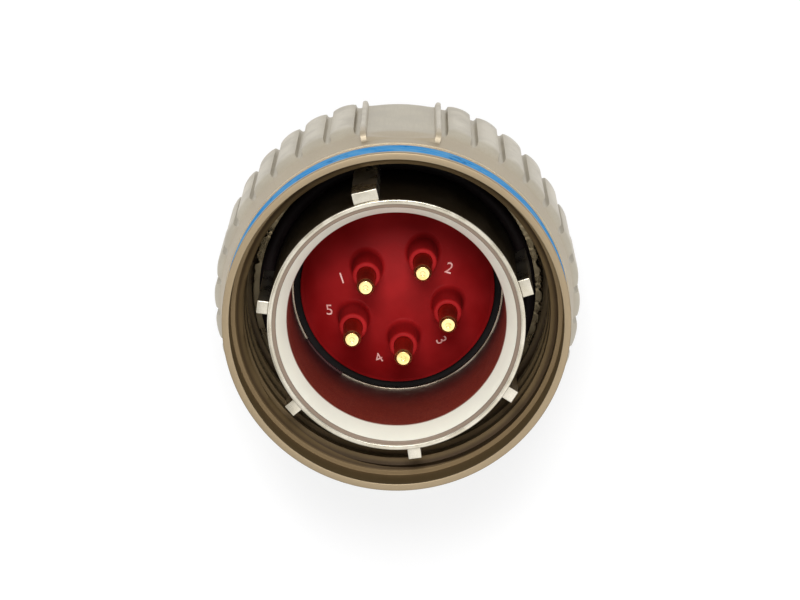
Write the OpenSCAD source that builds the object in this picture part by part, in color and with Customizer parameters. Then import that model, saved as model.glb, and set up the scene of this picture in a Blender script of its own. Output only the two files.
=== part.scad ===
// Threaded circular connector plug, pin contacts, scoop-proof barrel.
// The rear (accessory) end stands on z = 0 and the mating face looks along +Z.
// The marking flat of the coupling nut faces +Y.  Millimetres.

/* [Overall] */
// Height of the barrel lip above the rear end
plug_len = 31.3; // [29:0.1:36]
// Outer radius of the mating barrel, which every other radius follows
barrel_r = 10.8; // [10:0.1:12]
// Running clearance between turning parts, on the radius
run_gap = 0.06; // [0.03:0.01:0.09]
// Seating clearance between parts of the same body
seat_gap = 0.03; // [0.01:0.01:0.08]

/* [Barrel] */
// Thickness of the mating barrel's wall
barrel_wall = 1.58; // [1.4:0.02:1.8]
// Depth of the bevel from the lip down to the bore
bevel_depth = 1.95; // [1:0.05:3]
// Width of the bevel, from the bore outwards
bevel_w = 0.9; // [0.6:0.02:1.1]
// Depth of the small step inside the lip
lip_step = 0.22; // [0.1:0.02:0.5]
// Width of the lip's front land
lip_land_w = 0.38; // [0.3:0.01:0.45]
// Chamfer round the barrel's lip
lip_edge = 0.12; // [0.05:0.01:0.2]

/* [Keys] */
// Width of the master key
master_key_w = 2.15; // [1.6:0.05:3]
// Width of the right-hand key
second_key_w = 1.5; // [1:0.05:2]
// Width of the other keys
minor_key_w = 1.12; // [0.8:0.02:1.5]
// How far the keys stand out of the barrel
key_h = 0.95; // [0.6:0.05:1.2]
// Distance from the lip back to the front of the keys
key_setback = 0.3; // [0.1:0.05:1]
// Space between the O-ring and the rear of the keys
key_clearance = 0.15; // [0.1:0.05:1]

/* [Flange and hub] */
// How far the flange that the nut turns behind stands out of the barrel
flange_rise = 1.9; // [1.7:0.05:2.05]
// Distance from the lip back to the flange's front face
flange_depth = 12.5; // [11.5:0.1:13]
// Thickness of the flange
flange_t = 1.5; // [1:0.1:1.8]
// How far the hub that carries the nut stands out of the barrel
hub_rise = 1.1; // [0.9:0.05:1.3]
// Chamfer on the shell's outer corners
shell_edge = 0.25; // [0.1:0.05:0.4]

/* [Accessory end] */
// How far the accessory thread stands out of the barrel
acc_thread_rise = 0.2; // [0:0.1:0.4]
// Distance from the nut's rear face to the accessory thread
hub_tail = 3.8; // [3:0.1:4.5]
// Width of the relief in front of the accessory thread
relief_w = 1.0; // [0.6:0.1:1.4]
// Depth of the relief below the accessory thread
relief_depth = 0.65; // [0.4:0.05:0.8]
// Thickness of the shell's wall at the rear
rear_wall = 2.25; // [2:0.05:2.5]
// Step from the accessory thread in to the toothed rim
tooth_rim_step = 0.6; // [0.3:0.05:0.8]
// Number of accessory teeth
tooth_count = 24; // [12:1:36]
// Depth of the accessory teeth
tooth_h = 0.8; // [0.4:0.1:1.2]

/* [Coupling nut] */
// Length of the coupling nut
nut_len = 19.05; // [18.5:0.05:19.3]
// Distance from the barrel lip back to the nut's front rim
nut_setback = 0.65; // [0.3:0.05:1.2]
// Space between the barrel and the root of the coupling thread
coupling_space = 2.82; // [2.75:0.01:2.9]
// Thickness of the nose's wall over the thread's root
nose_wall = 1.0; // [0.9:0.02:1.1]
// How far the grip's shoulder stands out of the nose
shoulder_rise = 0.53; // [0.4:0.01:0.8]
// How far the grip's lobes stand out of the nose
grip_rise = 1.18; // [1:0.02:1.6]
// Distance from the front rim to the front of the grip
grip_setback = 7.6; // [6.5:0.1:8.5]
// Step from the thread's root out to the opening behind the rim
mouth_step = 0.4; // [0.3:0.01:0.48]
// Depth of the opening before the thread begins
mouth_depth = 2.55; // [1:0.05:3]
// Height of the coupling thread's ridges
thread_h = 0.6; // [0.3:0.05:0.7]
// Distance from one ridge to the next
thread_pitch = 2.54; // [2:0.02:3]
// Number of thread starts
thread_starts = 1; // [1:1:3]
// Width of a ridge's crest
thread_crest_w = 0.84; // [0.5:0.02:1]
// Slope of a ridge's flank along the axis
thread_flank = 0.36; // [0.2:0.02:0.5]
// Angle of the first start, from +X
thread_start_a = 53; // [0:1:359]
// Chamfer on the nut's rear corners
nut_edge = 0.7; // [0.3:0.05:1]

/* [Grip] */
// Angle from one grip groove to the next
grip_step = 10; // [8:0.5:12]
// Angle from the flat's middle to the first groove
first_groove_a = 15; // [14:0.5:16]
// Radius of a lobe's rounding
lobe_r = 2.35; // [2:0.05:3]
// Radius of the groove between two lobes
groove_r = 0.32; // [0.3:0.02:0.6]
// Depth of the groove below the lobes
groove_depth = 0.68; // [0.5:0.02:0.8]
// How far the marking flat stands over the nose
flat_rise = 0.28; // [0.15:0.01:0.4]
// Distance from the front rim to the front of the marking flat
flat_setback = 4.65; // [4.2:0.05:6]
// Angle from the flat's middle to each rib
rib_a = 11.9; // [11:0.1:12.5]
// Width of each rib
rib_w = 0.5; // [0.3:0.05:0.8]

/* [Colour band] */
// Width of the colour band
band_w = 3.3; // [2:0.1:3.6]
// Distance from the front rim to the colour band
band_setback = 0.35; // [0.2:0.05:0.5]
// Depth of the groove that holds the colour band
band_depth = 0.12; // [0.06:0.02:0.3]

/* [Nut retention] */
// Space between the nut's web and the flange, for the washer and the spring
spring_space = 1.2; // [1.1:0.05:1.6]
// Thickness of the thrust washer
washer_t = 0.4; // [0.3:0.05:0.5]
// Thickness of the wave spring's strip
spring_t = 0.25; // [0.15:0.05:0.3]
// Number of waves in the spring
spring_waves = 6; // [3:1:8]
// Thickness of the rear snap ring
snap_t = 0.7; // [0.5:0.05:0.9]
// How far the snap ring stands out of the hub
snap_proud = 0.9; // [0.5:0.05:1.2]
// Depth of the snap ring's groove in the hub
snap_groove_depth = 0.7; // [0.5:0.05:0.8]
// Width of the snap ring's gap
snap_slot_w = 2.4; // [1.5:0.1:4]

/* [Insert] */
// Space round the face seal, in from the bore
seal_margin = 0.72; // [0.6:0.02:0.9]
// Distance from the lip back to the edge of the face seal
seal_edge_depth = 13.0; // [12.5:0.1:13.5]
// How far the face seal is crowned
seal_crown = 1.9; // [0.5:0.1:2.5]
// Thickness of the face seal's edge above the insert
seal_edge_t = 0.55; // [0.4:0.05:1]
// Thickness of the insert's front flange
insert_flange_t = 3.2; // [2.5:0.1:4]
// Radius of a boss round a contact
boss_r = 1.22; // [1.1:0.02:1.4]
// Distance from the lip back to the top of the bosses
boss_depth = 7.05; // [6.5:0.05:8]
// Rounding of a boss's top edge
boss_edge = 0.25; // [0.1:0.05:0.35]
// Spread of a boss's foot
boss_foot = 0.6; // [0.2:0.05:0.9]
// Height over which a boss's foot spreads
boss_foot_h = 1.6; // [0.8:0.1:2]
// Height of the rear grommet
grommet_h = 5.2; // [4:0.1:6]
// Distance from the rear end to the grommet's face
grommet_recess = 0.9; // [0.5:0.1:1.5]
// Thickness of the grommet's rear web, which the wire holes pass through
grommet_web = 2.2; // [1.5:0.1:3]
// Thickness of the contact clip disc
clip_disc_t = 1.6; // [1.2:0.1:2]

/* [Insert retaining ring] */
// Thickness of the retaining ring along the axis
ring_t = 0.7; // [0.5:0.05:0.9]
// How far the ring stands into the bore
ring_proud = 0.16; // [0.1:0.02:0.3]
// How deep the ring's groove is cut into the bore
ring_groove = 0.32; // [0.2:0.02:0.4]
// Middle of the ring's gap, from +X
ring_gap_a = 225; // [0:1:359]
// Angle of the ring's gap
ring_gap_w = 28; // [5:1:40]

/* [Contacts] */
// Radius of a contact pin
pin_r = 0.785; // [0.7:0.005:0.8]
// Distance from the lip back to the contact tips
tip_depth = 3.0; // [2:0.1:4.5]
// Rounding of a contact tip
tip_round = 0.26; // [0.1:0.02:0.4]
// Thickness of the stem's wall over the pin, inside the seal and the insert
stem_rise = 0.2; // [0.18:0.01:0.24]
// Thickness of the seal's lip over the stem, which grips the pin
boss_lip = 0.1; // [0.05:0.05:0.15]
// How far a contact's shoulder stands out of its crimp barrel
shoulder_w = 0.15; // [0.1:0.01:0.3]
// Length of a contact's shoulder
contact_shoulder_len = 1.2; // [0.8:0.1:1.4]
// Radius of a contact's crimp barrel
crimp_r = 1.15; // [1.05:0.05:1.25]
// Thickness of the crimp barrel's wall
crimp_wall = 0.3; // [0.2:0.05:0.35]
// Depth of the crimp barrel's bore
crimp_depth = 4.0; // [3:0.1:5]
// Radius of a wire hole in the grommet
wire_hole_r = 1.0; // [0.8:0.05:1.05]
// Length of a contact's retention clip
clip_len = 2.0; // [1.5:0.1:2.1]
// Thickness of a retention clip's wall
clip_t = 0.2; // [0.15:0.01:0.25]
// Width of a retention clip's slot
clip_slot_w = 0.4; // [0.2:0.05:0.8]

/* [Seals] */
// Section radius of the barrel's O-ring
oring_r = 0.6; // [0.4:0.05:0.75]

/* [Hidden] */
$fn = 96;
small_fn = 32;
eps = 0.01;

// Contact places: radius from the axis and angle from +X
contact_at = [[3.65, 137], [4.36, 61], [4.4, -8], [3.66, -80], [4.27, 209]];

// Key places from +X, the master key first
master_key_a = 104.5;
second_key_a = 18;
minor_key_a = [-31, -81, 221, 173.5];

// Radii, from the barrel outwards and inwards
bore_r = barrel_r - barrel_wall;
bevel_r = bore_r + bevel_w;
lip_land_r = barrel_r - lip_land_w;
flange_r = barrel_r + flange_rise;
hub_r = barrel_r + hub_rise;
nut_bore_r = hub_r + run_gap;
acc_thread_r = barrel_r + acc_thread_rise;
relief_r = acc_thread_r - relief_depth;
rear_bore_r = acc_thread_r - rear_wall;
thread_root_r = barrel_r + coupling_space;
mouth_r = thread_root_r + mouth_step;
nose_r = thread_root_r + nose_wall;
shoulder_r = nose_r + shoulder_rise;
grip_r = nose_r + grip_rise;
flat_h = nose_r + flat_rise;
flat_half_w = grip_r * sin(rib_a);
seal_r = bore_r - seal_margin;
snap_groove_r = hub_r - snap_groove_depth;
cavity_r = thread_root_r + 0.13;
sleeve_r = thread_root_r + 0.26;
stem_r = pin_r + stem_rise;
contact_shoulder_r = crimp_r + shoulder_w;
clip_r = crimp_r + seat_gap + clip_t;

// Levels above the rear end
flange_top = plug_len - flange_depth;
flange_z = flange_top - flange_t;
web_top = flange_z - spring_space;
nut_top = plug_len - nut_setback;
nut_base = nut_top - nut_len;
grip_top = nut_top - grip_setback;
flat_top = nut_top - flat_setback;
snap_z = nut_base - run_gap - snap_t;
acc_thread_top = nut_base - hub_tail;
band_top = nut_top - band_setback;
band_base = band_top - band_w;
bore_top = plug_len - lip_step - bevel_depth;
seal_edge_z = plug_len - seal_edge_depth;
insert_top = seal_edge_z - seal_edge_t;
insert_seat = insert_top - insert_flange_t;
ring_z = insert_top + seat_gap;
boss_top = plug_len - boss_depth;
stem_top = boss_top - boss_lip;
tip_z = plug_len - tip_depth;
grommet_top = grommet_recess + grommet_h;
clip_disc_top = grommet_top + clip_disc_t;
contact_shoulder_z = clip_disc_top + seat_gap + clip_len + 0.17;
contact_shoulder_top = contact_shoulder_z + contact_shoulder_len;
key_top = plug_len - key_setback;
key_base = flange_top + 2 * oring_r + seat_gap + key_clearance;
thread_top = nut_top - mouth_depth;
sleeve_top = thread_top - 0.06;
sleeve_base = flange_top + 0.8;
thread_rows = ceil((sleeve_top - sleeve_base) / thread_pitch) + 1;
groove_count = floor((360 - 2 * first_groove_a) / grip_step) + 1;
groove_centre_r = grip_r - groove_depth + groove_r;
seal_sphere_r = (seal_r * seal_r + seal_crown * seal_crown) / (2 * seal_crown);

module ring(r_out, r_in, h) {
    rotate_extrude() translate([r_in, 0]) square([r_out - r_in, h]);
}

// A bar along a radius, for keys and ribs
module radial_bar(angle, r_in, r_out, width, z0, z1) {
    rotate(angle) translate([r_in, -width / 2, z0]) cube([r_out - r_in, width, z1 - z0]);
}

// ---------------------------------------------------------------- plug shell
module shell_section() {
    edge = shell_edge;
    rim_r = acc_thread_r - tooth_rim_step;
    relief_top = acc_thread_top + relief_w;
    polygon([
        [rear_bore_r, 0], [rim_r, 0], [rim_r, tooth_h],
        [acc_thread_r - edge, tooth_h], [acc_thread_r, tooth_h + edge],
        [acc_thread_r, acc_thread_top], [relief_r, acc_thread_top + edge],
        [relief_r, relief_top], [hub_r - edge, relief_top], [hub_r, relief_top + edge],
        [hub_r, snap_z - seat_gap], [snap_groove_r, snap_z - seat_gap],
        [snap_groove_r, snap_z + snap_t + seat_gap], [hub_r, snap_z + snap_t + seat_gap],
        [hub_r, flange_z], [flange_r - edge, flange_z], [flange_r, flange_z + edge],
        [flange_r, flange_top - edge], [flange_r - edge, flange_top], [barrel_r, flange_top],
        [barrel_r, plug_len - lip_edge], [barrel_r - lip_edge, plug_len],
        [lip_land_r, plug_len], [lip_land_r, plug_len - lip_step],
        [bevel_r, plug_len - lip_step], [bore_r, bore_top],
        [bore_r, ring_z + ring_t + seat_gap], [bore_r + ring_groove, ring_z + ring_t + seat_gap],
        [bore_r + ring_groove, ring_z - seat_gap], [bore_r, ring_z - seat_gap],
        [bore_r, insert_seat], [rear_bore_r, insert_seat]
    ]);
}

module barrel_key(angle, width) {
    radial_bar(angle, barrel_r - barrel_wall / 2, barrel_r + key_h, width, key_base, key_top);
}

module accessory_gap(i) {
    rotate(i * 360 / tooth_count) translate([rear_bore_r - 1, 0, 0])
        rotate([90, 0, 90]) linear_extrude(rear_wall + 2)
            polygon([[-tooth_h * 0.6, -eps], [tooth_h * 0.6, -eps], [0, tooth_h * 0.85]]);
}

module plug_shell() {
    color([0.86, 0.83, 0.77]) {
        difference() {
            rotate_extrude() shell_section();
            for (i = [0:tooth_count - 1]) accessory_gap(i);
        }
        barrel_key(master_key_a, master_key_w);
        barrel_key(second_key_a, second_key_w);
        for (a = minor_key_a) barrel_key(a, minor_key_w);
    }
}

// -------------------------------------------------------------- coupling nut
module nut_section() {
    edge = 0.1;
    cone_foot = 0.15;
    polygon([
        [nut_bore_r, nut_base], [grip_r - nut_edge, nut_base], [grip_r, nut_base + nut_edge],
        [grip_r, grip_top - (grip_r - shoulder_r)], [shoulder_r, grip_top],
        [nose_r + edge, band_base - cone_foot], [nose_r, band_base - cone_foot],
        [nose_r, band_base], [nose_r - band_depth, band_base], [nose_r - band_depth, band_top],
        [nose_r, band_top], [nose_r, nut_top - edge], [nose_r - edge, nut_top],
        [mouth_r + edge / 2, nut_top], [mouth_r, nut_top - edge / 2], [mouth_r, thread_top],
        [cavity_r, thread_top], [cavity_r, web_top + 0.3],
        [cavity_r - 0.3, web_top], [nut_bore_r, web_top]
    ]);
}

module grip_outline() {
    difference() {
        union() {
            circle(r = grip_r - groove_depth);
            rotate(90) for (i = [0:groove_count - 2])
                rotate(first_groove_a + (i + 0.5) * grip_step)
                    translate([grip_r - lobe_r, 0]) circle(r = lobe_r, $fn = 48);
            flat_outline(0);
        }
        rotate(90) for (i = [0:groove_count - 1])
            rotate(first_groove_a + i * grip_step)
                translate([groove_centre_r, 0]) circle(r = groove_r, $fn = 24);
    }
}

// The plain land of the marking flat and the two ribs beside it
module flat_outline(from_y) {
    translate([-flat_half_w, from_y]) square([2 * flat_half_w, flat_h - from_y]);
    rotate(90) for (s = [-1, 1]) rotate(s * rib_a) translate([from_y, -rib_w / 2])
        square([grip_r + 1 - from_y, rib_w]);
}

// The flat and its ribs run on over the cone, with a straight front edge
module flat_front() {
    back = grip_top - 1.2;
    edge = 0.45;
    inner_r = (sleeve_r + nose_r) / 2;
    intersection() {
        rotate_extrude() polygon([
            [inner_r, back], [grip_r, back], [grip_r, flat_top - edge],
            [grip_r - edge, flat_top], [inner_r, flat_top]
        ]);
        translate([0, 0, back - 1]) linear_extrude(flat_top - back + 2)
            flat_outline(inner_r * cos(rib_a) - 1);
    }
}

// Radius of the threaded wall at an angle and a height: trapezoid ridges on a helix
function thread_r(a, z) =
    let (u = (z - thread_top) / thread_pitch - (a - thread_start_a) / 360 * thread_starts,
         off = abs(u - floor(u) - 0.5) * thread_pitch,
         rise = (thread_crest_w / 2 + thread_flank - off) / thread_flank)
        thread_root_r - thread_h * max(0, min(1, rise));

// Heights of the ridges' corners down the wall at one angle, held between the ends
function thread_corners(a) = [
    for (k = [0:thread_rows + thread_starts])
        for (c = [thread_crest_w / 2 + thread_flank, thread_crest_w / 2,
                  -thread_crest_w / 2, -thread_crest_w / 2 - thread_flank])
            let (z = thread_top + c - (k - 0.5 - (a - thread_start_a) / 360 * thread_starts)
                 * thread_pitch)
                max(sleeve_base, min(sleeve_top, z))];

// The threaded wall as one closed sleeve, its back buried in the nut's wall
module thread_sleeve() {
    wedges = 72;
    rows = 4 * (thread_rows + thread_starts + 1);
    ring_len = rows + 2;
    points = [for (i = [0:wedges - 1])
        let (a = thread_start_a + i * 360 / wedges,
             back = sleeve_r,
             wall = [for (z = thread_corners(a)) [thread_r(a, z), z]])
        for (p = concat([[back, sleeve_top]], wall, [[back, sleeve_base]]))
            [p[0] * cos(a), p[0] * sin(a), p[1]]];
    // After a full turn each ridge meets the one thread_starts places up
    function at(i, j) = i < wedges ? i * ring_len + j
        : j == 0 || j == ring_len - 1 ? j : max(j - 4 * thread_starts, 1);
    quads = [for (i = [0:wedges - 1]) for (j = [0:ring_len - 1])
        let (n = (j + 1) % ring_len) [at(i, j), at(i, n), at(i + 1, n), at(i + 1, j)]];
    polyhedron(points, [for (q = quads) for (t = [[q[0], q[1], q[2]], [q[0], q[2], q[3]]])
        if (len_of(points, t) > 0) t], convexity = 8);
}

// Twice the area of a triangle, to leave out the ones that close up at the ends
function len_of(points, t) =
    norm(cross(points[t[1]] - points[t[0]], points[t[2]] - points[t[0]])) > 1e-9 ? 1 : 0;

module coupling_nut() {
    color([0.7, 0.67, 0.6]) {
        intersection() {
            rotate_extrude() nut_section();
            union() {
                translate([0, 0, nut_base - 1]) linear_extrude(grip_top - nut_base + 1)
                    grip_outline();
                translate([0, 0, grip_top]) cylinder(r = grip_r + 1, h = nut_len);
            }
        }
        flat_front();
        thread_sleeve();
    }
}

module colour_band() {
    color([0.27, 0.58, 0.8])
        translate([0, 0, band_base + seat_gap])
            ring(nose_r - 0.01, nose_r - band_depth + 0.005, band_w - 2 * seat_gap);
}

// ------------------------------------------------------------- nut retention
module thrust_washer() {
    color([0.75, 0.74, 0.7]) translate([0, 0, flange_z - washer_t - seat_gap])
        ring(flange_r - 0.1, hub_r + seat_gap, washer_t);
}

module wave_spring() {
    steps = 72;
    z_mid = (web_top + flange_z - washer_t) / 2;
    swing = (flange_z - washer_t - web_top - spring_t) / 2 - 0.12;
    r_in = hub_r + 0.1;
    r_out = flange_r - 0.15;
    points = [for (i = [0:steps - 1])
        let (a = i * 360 / steps, z = z_mid + swing * cos(a * spring_waves))
        for (p = [[r_in, -1], [r_out, -1], [r_out, 1], [r_in, 1]])
            [p[0] * cos(a), p[0] * sin(a), z + p[1] * spring_t / 2]];
    faces = [for (i = [0:steps - 1]) for (k = [0:3])
        let (j = (i + 1) % steps, m = (k + 1) % 4)
        [i * 4 + k, j * 4 + k, j * 4 + m, i * 4 + m]];
    color([0.6, 0.6, 0.58]) polyhedron(points, faces, convexity = 6);
}

module snap_ring() {
    color([0.55, 0.55, 0.53]) difference() {
        translate([0, 0, snap_z]) ring(hub_r + snap_proud, snap_groove_r + seat_gap, snap_t);
        rotate(-90) translate([0, -snap_slot_w / 2, snap_z - 1])
            cube([hub_r + snap_proud + 1, snap_slot_w, snap_t + 2]);
    }
}

module barrel_o_ring() {
    color([0.12, 0.12, 0.12]) translate([0, 0, flange_top + oring_r + seat_gap])
        rotate_extrude() translate([barrel_r + oring_r + seat_gap, 0])
            circle(r = oring_r, $fn = small_fn);
}

// ------------------------------------------------------------------- insert
module insert_retaining_ring() {
    ring_in = bore_r - ring_proud;
    ring_out = bore_r + ring_groove - seat_gap;
    reach = 2 * bore_r;
    half = tan(ring_gap_w / 2);
    color([0.8, 0.78, 0.72]) difference() {
        translate([0, 0, ring_z]) ring(ring_out, ring_in, ring_t);
        rotate(ring_gap_a) translate([0, 0, ring_z - 1]) linear_extrude(ring_t + 2)
            polygon([[0, 0], [reach, -reach * half], [reach, reach * half]]);
    }
}

module at_contact(i) {
    rotate(contact_at[i][1]) translate([contact_at[i][0], 0, 0]) children();
}

// Angles of the steps round a quarter turn, for rounded edges
function quarter(steps) = [for (k = [0:steps]) k * 90 / steps];

module boss_section() {
    foot_z = seal_edge_z + seal_crown / 2;
    sunk = 0.8;
    polygon(concat(
        [[0, foot_z - sunk], [boss_r + boss_foot, foot_z - sunk]],
        [for (t = quarter(6))
            [boss_r + boss_foot * (1 - sin(t)), foot_z + boss_foot_h * (1 - cos(t))]],
        [for (t = quarter(4))
            [boss_r - boss_edge * (1 - cos(t)), boss_top - boss_edge * (1 - sin(t))]],
        [[0, boss_top]]));
}

module face_seal() {
    color([0.62, 0.11, 0.09]) difference() {
        union() {
            intersection() {
                translate([0, 0, insert_top]) cylinder(r = seal_r, h = seal_edge_t + seal_crown + 1);
                translate([0, 0, seal_edge_z + seal_crown - seal_sphere_r])
                    sphere(r = seal_sphere_r, $fn = 128);
            }
            for (i = [0:4]) at_contact(i) rotate_extrude($fn = 48) boss_section();
        }
        for (i = [0:4]) at_contact(i) translate([0, 0, insert_top - 1]) {
            cylinder(r = stem_r + seat_gap, h = stem_top + seat_gap - insert_top + 1,
                     $fn = small_fn);
            cylinder(r = pin_r + seat_gap, h = plug_len, $fn = small_fn);
        }
    }
}

module insert_body() {
    color([0.16, 0.15, 0.15]) difference() {
        union() {
            translate([0, 0, insert_seat + seat_gap])
                cylinder(r = bore_r - seat_gap, h = insert_flange_t - 2 * seat_gap);
            translate([0, 0, clip_disc_top + seat_gap])
                cylinder(r = rear_bore_r - seat_gap, h = insert_seat - clip_disc_top);
        }
        for (i = [0:4]) at_contact(i) {
            cylinder(r = stem_r + seat_gap, h = plug_len, $fn = small_fn);
            cylinder(r = max(clip_r, contact_shoulder_r) + 0.1,
                     h = contact_shoulder_top + 0.2, $fn = small_fn);
        }
    }
}

module clip_disc() {
    color([0.2, 0.19, 0.18]) difference() {
        translate([0, 0, grommet_top + seat_gap])
            cylinder(r = rear_bore_r - seat_gap, h = clip_disc_t - seat_gap);
        for (i = [0:4]) at_contact(i)
            cylinder(r = crimp_r + seat_gap, h = plug_len, $fn = small_fn);
    }
}

module rear_grommet() {
    color([0.5, 0.12, 0.1]) difference() {
        translate([0, 0, grommet_recess])
            cylinder(r = rear_bore_r - seat_gap, h = grommet_h);
        for (i = [0:4]) at_contact(i) {
            translate([0, 0, -1]) cylinder(r = wire_hole_r, h = plug_len, $fn = small_fn);
            translate([0, 0, grommet_recess + grommet_web])
                cylinder(r = crimp_r + seat_gap, h = plug_len, $fn = small_fn);
        }
    }
}

// ----------------------------------------------------------------- contacts
module contact(i) {
    crimp_z = grommet_recess + grommet_web + seat_gap;
    crimp_bore_r = crimp_r - crimp_wall;
    drill_tip = 0.5;
    color([0.93, 0.8, 0.5]) at_contact(i) rotate_extrude($fn = 48) polygon(concat(
        [[0, crimp_z + crimp_depth + drill_tip], [crimp_bore_r, crimp_z + crimp_depth],
         [crimp_bore_r, crimp_z], [crimp_r, crimp_z], [crimp_r, contact_shoulder_z],
         [contact_shoulder_r, contact_shoulder_z], [contact_shoulder_r, contact_shoulder_top],
         [stem_r, contact_shoulder_top], [stem_r, stem_top], [pin_r, stem_top]],
        [for (t = quarter(4))
            [pin_r - tip_round * (1 - cos(t)), tip_z - tip_round * (1 - sin(t))]],
        [[0, tip_z]]));
}

module retention_clip(i) {
    color([0.8, 0.6, 0.3]) at_contact(i) translate([0, 0, clip_disc_top + 2 * seat_gap])
        difference() {
            ring(clip_r, crimp_r + seat_gap, clip_len);
            translate([0, -clip_slot_w / 2, -1]) cube([2 * clip_r, clip_slot_w, clip_len + 2]);
        }
}

plug_shell();
coupling_nut();
colour_band();
thrust_washer();
wave_spring();
snap_ring();
barrel_o_ring();
insert_retaining_ring();
face_seal();
insert_body();
clip_disc();
rear_grommet();
contact(0);  // contact_1
contact(1);  // contact_2
contact(2);  // contact_3
contact(3);  // contact_4
contact(4);  // contact_5
retention_clip(0);  // retention_clip_1
retention_clip(1);  // retention_clip_2
retention_clip(2);  // retention_clip_3
retention_clip(3);  // retention_clip_4
retention_clip(4);  // retention_clip_5
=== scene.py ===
"""Threaded circular plug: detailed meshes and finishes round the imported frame.

Sizes in the classes are millimetres on the frame's axes, with the mating face up; meshes are
written in metres.  The rear end stands on z = 0.  A Pair in a finish is where a smooth step
starts and ends; a Span is where a mask starts, is full, starts to end and has ended.
"""
import logging
import math
from dataclasses import dataclass, field
from enum import Enum

import bpy
import numpy as np
from mathutils import Matrix, Vector


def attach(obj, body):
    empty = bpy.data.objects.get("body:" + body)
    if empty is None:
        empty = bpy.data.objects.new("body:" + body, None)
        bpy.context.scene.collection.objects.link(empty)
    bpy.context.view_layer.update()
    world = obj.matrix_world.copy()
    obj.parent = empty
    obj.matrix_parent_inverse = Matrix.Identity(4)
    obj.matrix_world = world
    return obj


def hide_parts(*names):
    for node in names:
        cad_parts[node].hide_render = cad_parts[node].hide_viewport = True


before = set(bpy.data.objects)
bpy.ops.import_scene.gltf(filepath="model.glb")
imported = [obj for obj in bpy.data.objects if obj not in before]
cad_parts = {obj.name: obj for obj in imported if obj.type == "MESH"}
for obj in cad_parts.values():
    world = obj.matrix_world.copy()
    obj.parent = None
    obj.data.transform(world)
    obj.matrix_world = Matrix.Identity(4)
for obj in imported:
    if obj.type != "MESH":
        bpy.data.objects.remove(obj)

MM = 0.001
TAU = 2 * math.pi
MERGE = 2e-4
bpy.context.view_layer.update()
Pair = tuple[float, float]
Triple = tuple[float, float, float]
Colour = tuple[float, float, float]
Span = tuple[float, float, float, float]
log = logging.getLogger("plug")


class Body(Enum):
    """The frame's bodies that a piece can ride on."""

    SHELL = "shell"
    NUT = "nut"


def link(name: str, data: bpy.types.ID) -> bpy.types.Object:
    """A new object in the scene."""
    made = bpy.data.objects.new(name, data)
    bpy.context.scene.collection.objects.link(made)
    return made


# ------------------------------------------------------------------ surfaces
def fillet_outline(corners: list[Triple], steps: int = 3) -> np.ndarray:
    """Rounds the corners of a closed outline.

    A corner becomes an arc of steps + 1 points.  Its centre lies on the corner's bisector at
    radius over the sine of the half angle, and the arc blends the two tangent points round it.

    Args:
        corners: radius, height and rounding of each corner, in order.
        steps: spans of each arc.

    Returns:
        The outline's points, one row each.
    """
    table = np.asarray(corners, float)
    points, radius = table[:, :2], table[:, 2:3]
    back = np.roll(points, 1, 0) - points
    ahead = np.roll(points, -1, 0) - points
    back /= np.linalg.norm(back, axis=1, keepdims=True)
    ahead /= np.linalg.norm(ahead, axis=1, keepdims=True)
    half = np.arccos(np.clip((back * ahead).sum(1, keepdims=True), -1, 1)) / 2
    bisector = back + ahead
    bisector /= np.maximum(np.linalg.norm(bisector, axis=1, keepdims=True), 1e-9)
    centre = points + bisector * radius / np.sin(half)
    reach = radius / np.tan(half)
    first = points + back * reach - centre
    last = points + ahead * reach - centre
    turn = np.maximum(np.pi - 2 * half, 1e-6)[:, :, None]
    t = np.linspace(0, 1, steps + 1)[None, :, None]
    arc = (np.sin((1 - t) * turn) * first[:, None] + np.sin(t * turn) * last[:, None])
    return (centre[:, None] + arc / np.sin(turn)).reshape(-1, 2)


def revolve(outline: np.ndarray, angles: np.ndarray, centre: Pair = (0, 0)
            ) -> np.ndarray:
    """Carries an outline of radius and height round an upright axis.

    Args:
        outline: radius and height of each point, alike at all angles or one set per angle.
        angles: angles of the columns, in radians.
        centre: place of the axis.

    Returns:
        Points of shape columns, rows, 3.
    """
    r, z = np.broadcast_to(outline, (len(angles),) + outline.shape[-2:]).transpose(2, 0, 1)
    a = angles[:, None]
    return np.stack([centre[0] + r * np.cos(a), centre[1] + r * np.sin(a), z + 0 * a], -1)


def weave(columns: int, rows: int, closed: bool = True, over: np.ndarray | None = None
          ) -> np.ndarray:
    """Joins a grid of points, with its rows in a ring, into quads.

    Args:
        columns: number of columns.
        rows: points in a column.
        closed: joins the last column to the first.
        over: row of the first column that each row of the last one meets, for a helix.

    Returns:
        Four point numbers per quad.
    """
    u = np.arange(columns if closed else columns - 1)[:, None]
    v = np.arange(rows)[None, :]
    w = (v + 1) % rows
    meets = np.arange(rows) if over is None else over
    last = u == columns - 1
    far_v, far_w = np.where(last, meets[v], v), np.where(last, meets[w], w)
    base, far = u * rows, (u + 1) % columns * rows
    return np.stack([base + v, far + far_v, far + far_w, base + w], -1).reshape(-1, 4)


def capped(points: np.ndarray) -> np.ndarray:
    """Closes an open sweep: a column of its end's middle point goes before and after it."""
    ends = [np.broadcast_to(points[i].mean(0), points[i].shape) for i in (0, -1)]
    return np.concatenate([ends[0][None], points, ends[1][None]])


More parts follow.
